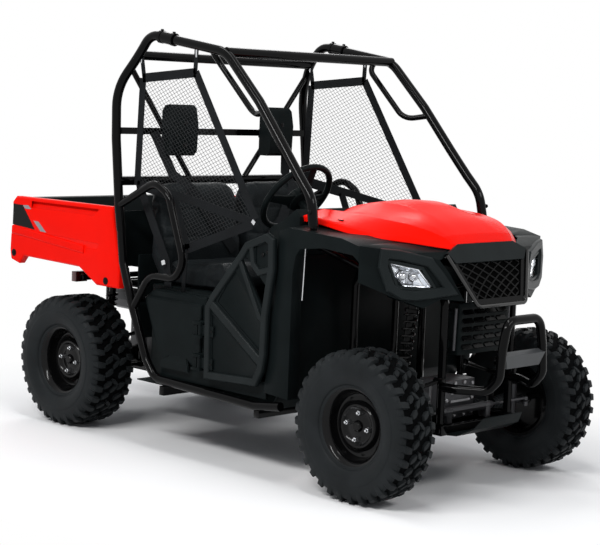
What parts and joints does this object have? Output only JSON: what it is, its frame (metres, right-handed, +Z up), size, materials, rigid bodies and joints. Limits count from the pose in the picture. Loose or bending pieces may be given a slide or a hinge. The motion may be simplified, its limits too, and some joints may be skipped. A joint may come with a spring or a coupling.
{
  "type": "side by side utility vehicle",
  "caption": "Off-road utility vehicle with seats side by side, open tube cage, low doors, tilting cargo bed with tailgate, red hood and bed sides, black panels and lugged tyres.",
  "frame": {"origin": "on the ground, halfway along the overall length and on the centre plane", "axes": "+X forward, +Y to the vehicle's left, +Z up"},
  "size_m": [2.659, 1.27, 1.8388],
  "materials": {
    "tyre": "dull black rubber",
    "rim_black": "black painted steel",
    "black_steel": "semi-gloss black powder coat",
    "red_plastic": "glossy red moulded plastic",
    "black_plastic": "fine grained black plastic",
    "seat_vinyl": "textured black vinyl",
    "lamp_lens": "clear lamp lens over a bright reflector",
    "cast_aluminium": "cast aluminium",
    "spring_steel": "black coil spring",
    "tail_lens": "red moulded lamp lens",
    "webbing": "woven polyester webbing"
  },
  "bodies": {
    "root": {"cage_front": "black_steel", "cage_rear": "black_steel", "dash": "black_plastic", "engine": "cast_aluminium", "floor_pan": "black_plastic", "front_arms": "black_steel", "front_bumper": "black_steel", "front_cowl": "black_plastic", "front_fender_left": "black_plastic", "front_fender_right": "black_plastic", "front_frame": "black_steel", "front_gearcase": "cast_aluminium", "front_shocks": "spring_steel", "grille": "black_plastic", "headlamps": "lamp_lens", "headrests": "seat_vinyl", "hood": "red_plastic", "main_frame": "black_steel", "radiator_guard": "black_plastic", "rear_arms": "black_steel", "rear_frame": "black_steel", "rear_gearcase": "cast_aluminium", "rear_shocks": "spring_steel", "seat_backs": "seat_vinyl", "seat_base": "black_plastic", "seat_cushions": "seat_vinyl", "side_guard_left": "black_steel", "side_guard_right": "black_steel", "side_nets": "webbing", "side_panels": "black_plastic", "skid_plate": "black_plastic", "steering_column": "black_plastic", "tail_lamps": "tail_lens"},
    "wheel_front_right": {"tyre_front_right": "tyre", "rim_front_right": "rim_black"},
    "wheel_front_left": {"tyre_front_left": "tyre", "rim_front_left": "rim_black"},
    "wheel_rear_right": {"tyre_rear_right": "tyre", "rim_rear_right": "rim_black"},
    "wheel_rear_left": {"tyre_rear_left": "tyre", "rim_rear_left": "rim_black"},
    "knuckle_right": {"knuckle_right": "cast_aluminium"},
    "knuckle_left": {"knuckle_left": "cast_aluminium"},
    "door_right": {"door_right": "black_plastic"},
    "door_left": {"door_left": "black_plastic"},
    "steering_wheel": {"steering_wheel": "black_plastic"},
    "bed": {"bed_tub": "black_plastic", "bed_side_panels": "red_plastic"},
    "tailgate": {"tailgate": "black_plastic"},
    "steering_rack": {"steering_rack": "cast_aluminium"}
  },
  "joints": [
    {"name": "steer_right", "type": "hinge", "parent": "root", "child": "knuckle_right", "pos_m": [0.9545, -0.43, 0.304], "axis": [0, 0, 1], "range_deg": [-30, 30]},
    {"name": "steer_left", "type": "hinge", "parent": "root", "child": "knuckle_left", "pos_m": [0.9545, 0.43, 0.304], "axis": [0, 0, 1], "range_deg": [-30, 30]},
    {"name": "steering_wheel_turn", "type": "hinge", "parent": "root", "child": "steering_wheel", "pos_m": [0.3405, -0.33, 1.153], "axis": [-0.8, 0, 0.6], "range_deg": [-270, 270]},
    {"name": "spin_front_right", "type": "hinge", "parent": "knuckle_right", "child": "wheel_front_right", "pos_m": [0.9545, -0.53, 0.304], "axis": [0, 1, 0], "continuous": true},
    {"name": "spin_front_left", "type": "hinge", "parent": "knuckle_left", "child": "wheel_front_left", "pos_m": [0.9545, 0.53, 0.304], "axis": [0, 1, 0], "continuous": true},
    {"name": "spin_rear_right", "type": "hinge", "parent": "root", "child": "wheel_rear_right", "pos_m": [-0.8995, -0.5125, 0.304], "axis": [0, 1, 0], "continuous": true},
    {"name": "spin_rear_left", "type": "hinge", "parent": "root", "child": "wheel_rear_left", "pos_m": [-0.8995, 0.5125, 0.304], "axis": [0, 1, 0], "continuous": true},
    {"name": "door_right_swing", "type": "hinge", "parent": "root", "child": "door_right", "pos_m": [0.0825, -0.617, 0.65], "axis": [0, 0, -1], "range_deg": [0, 75]},
    {"name": "door_left_swing", "type": "hinge", "parent": "root", "child": "door_left", "pos_m": [0.0825, 0.617, 0.65], "axis": [0, 0, 1], "range_deg": [0, 75]},
    {"name": "bed_tilt", "type": "hinge", "parent": "root", "child": "bed", "pos_m": [-1.1395, 0, 0.705], "axis": [0, -1, 0], "range_deg": [0, 40]},
    {"name": "tailgate_drop", "type": "hinge", "parent": "bed", "child": "tailgate", "pos_m": [-1.2965, 0, 0.795], "axis": [0, -1, 0], "range_deg": [0, 90]},
    {"name": "rack_slide", "type": "slide", "parent": "root", "child": "steering_rack", "axis": [0, 1, 0], "range_m": [-0.047, 0.047]}
  ],
  "couplings": [
    {"joint": "rack_slide", "follows": "steer_right", "m_per_rad": 0.0859},
    {"joint": "steer_left", "follows": "steer_right", "ratio": 1},
    {"joint": "steering_wheel_turn", "follows": "steer_right", "ratio": 9}
  ]
}
